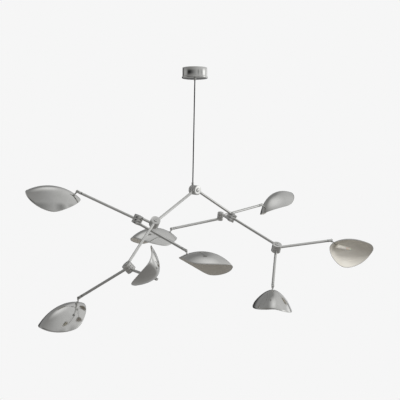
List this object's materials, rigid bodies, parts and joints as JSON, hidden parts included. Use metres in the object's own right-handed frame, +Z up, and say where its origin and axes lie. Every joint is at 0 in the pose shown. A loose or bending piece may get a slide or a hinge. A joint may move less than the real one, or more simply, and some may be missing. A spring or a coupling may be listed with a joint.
{
  "type": "multi arm chandelier",
  "caption": "Ceiling light: a branching tree of thin polished tubes on stacked-disc pivots, hung on one cable, with a bent oval shade and small lamp at each arm's end.",
  "frame": {"origin": "centre of the ceiling bracket's top face, where it meets the ceiling", "axes": "+Z up, +X to the right as seen from the front, +Y away from the viewer"},
  "size_m": [1.6247, 1.5036, 1.1915],
  "materials": {
    "nickel": "polished",
    "steel": "satin",
    "plastic": "matte",
    "cable": "matte",
    "lamp_glass": "gloss"
  },
  "bodies": {
    "ceiling_group": {"cable_grip": "nickel", "canopy_cup": "nickel", "canopy_plate": "nickel", "canopy_screw": "steel", "ceiling_bracket": "steel", "suspension_cable": "cable", "terminal_block": "plastic"},
    "hub": {"hub_block": "nickel"},
    "arm_left_group": {"arm_left": "nickel", "pin_left": "nickel"},
    "arm_right_group": {"arm_right": "nickel", "pin_right": "nickel"},
    "arm_left_lower_group": {"arm_left_lower": "nickel", "pin_left_lower": "nickel"},
    "arm_right_lower_group": {"arm_right_lower": "nickel", "pin_right_lower": "nickel"},
    "link_left_group": {"link_left": "nickel", "pin_left_upper": "nickel"},
    "link_right_group": {"link_right": "nickel", "pin_right_upper": "nickel"},
    "lamp_arm_1_group": {"lamp_arm_1": "nickel"},
    "neck_group_1": {"neck_1": "nickel"},
    "shade_group_1": {"lamp_1": "lamp_glass", "lamp_holder_1": "nickel", "shade_1": "nickel"},
    "lamp_arm_2_group": {"lamp_arm_2": "nickel"},
    "neck_group_2": {"neck_2": "nickel"},
    "shade_group_2": {"lamp_2": "lamp_glass", "lamp_holder_2": "nickel", "shade_2": "nickel"},
    "lamp_arm_3_group": {"lamp_arm_3": "nickel"},
    "neck_group_3": {"neck_3": "nickel"},
    "shade_group_3": {"lamp_3": "lamp_glass", "lamp_holder_3": "nickel", "shade_3": "nickel"},
    "lamp_arm_4_group": {"lamp_arm_4": "nickel"},
    "neck_group_4": {"neck_4": "nickel"},
    "shade_group_4": {"lamp_4": "lamp_glass", "lamp_holder_4": "nickel", "shade_4": "nickel"},
    "lamp_arm_5_group": {"lamp_arm_5": "nickel"},
    "neck_group_5": {"neck_5": "nickel"},
    "shade_group_5": {"lamp_5": "lamp_glass", "lamp_holder_5": "nickel", "shade_5": "nickel"},
    "lamp_arm_6_group": {"lamp_arm_6": "nickel"},
    "neck_group_6": {"neck_6": "nickel"},
    "shade_group_6": {"lamp_6": "lamp_glass", "lamp_holder_6": "nickel", "shade_6": "nickel"},
    "lamp_arm_7_group": {"lamp_arm_7": "nickel"},
    "neck_group_7": {"neck_7": "nickel"},
    "shade_group_7": {"lamp_7": "lamp_glass", "lamp_holder_7": "nickel", "shade_7": "nickel"},
    "lamp_arm_8_group": {"lamp_arm_8": "nickel"},
    "neck_group_8": {"neck_8": "nickel"},
    "shade_group_8": {"lamp_8": "lamp_glass", "lamp_holder_8": "nickel", "shade_8": "nickel"}
  },
  "joints": [
    {"name": "hub_swivel", "type": "hinge", "parent": "ceiling_group", "child": "hub", "pos_m": [-0.00946, 0.00882, -0.56564], "axis": [0, 0, 1], "range_deg": [-175, 175]},
    {"name": "arm_left_pivot", "type": "hinge", "parent": "hub", "child": "arm_left_group", "pos_m": [0, 0, -0.567], "axis": [0.7273, -0.6783, -0.1045], "range_deg": [-40, 10]},
    {"name": "arm_right_pivot", "type": "hinge", "parent": "hub", "child": "arm_right_group", "pos_m": [0.00946, -0.00882, -0.56836], "axis": [0.7273, -0.6783, -0.1045], "range_deg": [-10, 40]},
    {"name": "arm_left_lower_pivot", "type": "hinge", "parent": "arm_left_group", "child": "arm_left_lower_group", "pos_m": [-0.17535, -0.18275, -0.70891], "axis": [0.2667, -0.7745, 0.5736], "range_deg": [-28, 0]},
    {"name": "arm_right_lower_pivot", "type": "hinge", "parent": "arm_right_group", "child": "arm_right_lower_group", "pos_m": [0.17397, 0.19555, -0.69257], "axis": [0.5446, 0.0095, 0.8387], "range_deg": [-12, 40]},
    {"name": "link_left_pivot", "type": "hinge", "parent": "arm_left_group", "child": "link_left_group", "pos_m": [-0.18228, -0.16261, -0.72382], "axis": [0.2667, -0.7745, 0.5736], "range_deg": [0, 40]},
    {"name": "link_right_pivot", "type": "hinge", "parent": "arm_right_group", "child": "link_right_group", "pos_m": [0.16689, 0.19543, -0.70348], "axis": [0.5446, 0.0095, 0.8387], "range_deg": [-40, 40]},
    {"name": "lamp_arm_1_pivot", "type": "hinge", "parent": "link_left_group", "child": "lamp_arm_1_group", "pos_m": [-0.25579, -0.16251, -0.70381], "axis": [0.4271, -0.0986, 0.8988], "range_deg": [-60, 60]},
    {"name": "shade_1_roll", "type": "hinge", "parent": "lamp_arm_1_group", "child": "neck_group_1", "pos_m": [-0.50771, -0.15812, -0.58632], "axis": [-0.9062, 0.0158, 0.4226], "range_deg": [-110, 110]},
    {"name": "shade_1_tilt", "type": "hinge", "parent": "neck_group_1", "child": "shade_group_1", "pos_m": [-0.52765, -0.15777, -0.57702], "axis": [0.1495, 0.9467, 0.2852], "range_deg": [-34, 60]},
    {"name": "lamp_arm_2_pivot", "type": "hinge", "parent": "link_right_group", "child": "lamp_arm_2_group", "pos_m": [0.12246, 0.25521, -0.68847], "axis": [0.1033, -0.3601, 0.9272], "range_deg": [-50, 60]},
    {"name": "shade_2_roll", "type": "hinge", "parent": "lamp_arm_2_group", "child": "neck_group_2", "pos_m": [0.31876, 0.44478, -0.63542], "axis": [0.7061, 0.6819, 0.1908], "range_deg": [-110, 110]},
    {"name": "shade_2_tilt", "type": "hinge", "parent": "neck_group_2", "child": "shade_group_2", "pos_m": [0.3343, 0.45978, -0.63122], "axis": [0.6629, -0.7313, 0.1604], "range_deg": [-55, 60]},
    {"name": "lamp_arm_3_pivot", "type": "hinge", "parent": "link_right_group", "child": "lamp_arm_3_group", "pos_m": [0.12114, 0.25982, -0.70034], "axis": [0.1033, -0.3601, 0.9272], "range_deg": [-60, 60]},
    {"name": "shade_3_roll", "type": "hinge", "parent": "lamp_arm_3_group", "child": "neck_group_3", "pos_m": [-0.09225, 0.08703, -0.74382], "axis": [-0.7676, -0.6216, -0.1564], "range_deg": [-110, 110]},
    {"name": "shade_3_tilt", "type": "hinge", "parent": "neck_group_3", "child": "shade_group_3", "pos_m": [-0.10914, 0.07335, -0.74726], "axis": [-0.6314, 0.7753, 0.0176], "range_deg": [-50, 60]},
    {"name": "lamp_arm_4_pivot", "type": "hinge", "parent": "arm_right_lower_group", "child": "lamp_arm_4_group", "pos_m": [0.38106, 0.05048, -0.83513], "axis": [0.1501, -0.5235, 0.8387], "range_deg": [-60, 45]},
    {"name": "shade_4_roll", "type": "hinge", "parent": "lamp_arm_4_group", "child": "neck_group_4", "pos_m": [0.63163, 0.16732, -0.80607], "axis": [0.9013, 0.4203, 0.1045], "range_deg": [-110, 110]},
    {"name": "shade_4_tilt", "type": "hinge", "parent": "neck_group_4", "child": "shade_group_4", "pos_m": [0.65146, 0.17657, -0.80378], "axis": [0.2598, -0.7179, 0.6459], "range_deg": [-38, 60]},
    {"name": "lamp_arm_5_pivot", "type": "hinge", "parent": "arm_right_lower_group", "child": "lamp_arm_5_group", "pos_m": [0.37911, 0.05729, -0.84604], "axis": [0.1501, -0.5235, 0.8387], "range_deg": [-50, 60]},
    {"name": "shade_5_roll", "type": "hinge", "parent": "lamp_arm_5_group", "child": "neck_group_5", "pos_m": [0.35007, -0.17923, -0.98922], "axis": [-0.1045, -0.8508, -0.515], "range_deg": [-110, 110]},
    {"name": "shade_5_tilt", "type": "hinge", "parent": "neck_group_5", "child": "shade_group_5", "pos_m": [0.34777, -0.19795, -1.00055], "axis": [-0.9943, 0.078, 0.0728], "range_deg": [-60, 60]},
    {"name": "lamp_arm_6_pivot", "type": "hinge", "parent": "link_left_group", "child": "lamp_arm_6_group", "pos_m": [-0.26135, -0.16123, -0.71549], "axis": [0.4271, -0.0986, 0.8988], "range_deg": [0, 60]},
    {"name": "shade_6_roll", "type": "hinge", "parent": "lamp_arm_6_group", "child": "neck_group_6", "pos_m": [-0.05331, -0.3069, -0.82856], "axis": [0.7483, -0.524, -0.4067], "range_deg": [-80, 110]},
    {"name": "shade_6_tilt", "type": "hinge", "parent": "neck_group_6", "child": "shade_group_6", "pos_m": [-0.03685, -0.31843, -0.83751], "axis": [-0.4392, -0.8509, 0.2881], "range_deg": [-44, 60]},
    {"name": "lamp_arm_7_pivot", "type": "hinge", "parent": "arm_left_lower_group", "child": "lamp_arm_7_group", "pos_m": [-0.28321, -0.36404, -0.90835], "axis": [0.6243, 0.332, -0.7071], "range_deg": [-60, 55]},
    {"name": "shade_7_roll", "type": "hinge", "parent": "lamp_arm_7_group", "child": "neck_group_7", "pos_m": [-0.49578, -0.24131, -1.03887], "axis": [-0.7647, 0.4415, -0.4695], "range_deg": [-110, 110]},
    {"name": "shade_7_tilt", "type": "hinge", "parent": "neck_group_7", "child": "shade_group_7", "pos_m": [-0.51261, -0.2316, -1.0492], "axis": [0.5164, 0.8556, -0.0365], "range_deg": [-60, 60]},
    {"name": "lamp_arm_8_pivot", "type": "hinge", "parent": "arm_left_lower_group", "child": "lamp_arm_8_group", "pos_m": [-0.27509, -0.35972, -0.91755], "axis": [0.6243, 0.332, -0.7071], "range_deg": [-44, 60]},
    {"name": "shade_8_roll", "type": "hinge", "parent": "lamp_arm_8_group", "child": "neck_group_8", "pos_m": [-0.16245, -0.61272, -0.94178], "axis": [0.4052, -0.9101, -0.0872], "range_deg": [-80, 110]},
    {"name": "shade_8_tilt", "type": "hinge", "parent": "neck_group_8", "child": "shade_group_8", "pos_m": [-0.15354, -0.63274, -0.94369], "axis": [0.5035, 0.1425, 0.8522], "range_deg": [-13, 60]}
  ]
}
